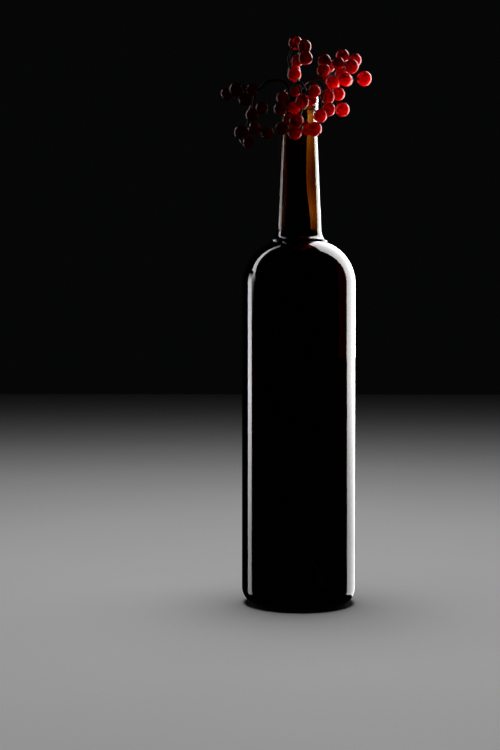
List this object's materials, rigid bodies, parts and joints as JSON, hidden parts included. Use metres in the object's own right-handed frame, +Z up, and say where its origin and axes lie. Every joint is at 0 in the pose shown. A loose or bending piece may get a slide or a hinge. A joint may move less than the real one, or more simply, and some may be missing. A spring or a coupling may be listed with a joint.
{
  "type": "wine bottle",
  "caption": "Tall round-shouldered wine bottle of dark amber glass, open and empty, standing on a flat foot, with sprigs of red berries in its mouth.",
  "frame": {"origin": "centre of the bottle's foot, on the surface that it stands on", "axes": "+Z up along the bottle's axis, +X to the right and -Y towards the viewer as in the picture"},
  "size_m": [0.0999, 0.075, 0.3777],
  "materials": {
    "dark_glass": "polished dark amber glass, near black where it is thick",
    "berry": "glossy translucent red skin",
    "stem": "thin brown-green stalks"
  },
  "bodies": {
    "root": {"bottle": "dark_glass", "sprig_right": "berry", "sprig_top": "berry", "sprig_left": "berry", "sprig_front": "berry"}
  },
  "joints": []
}
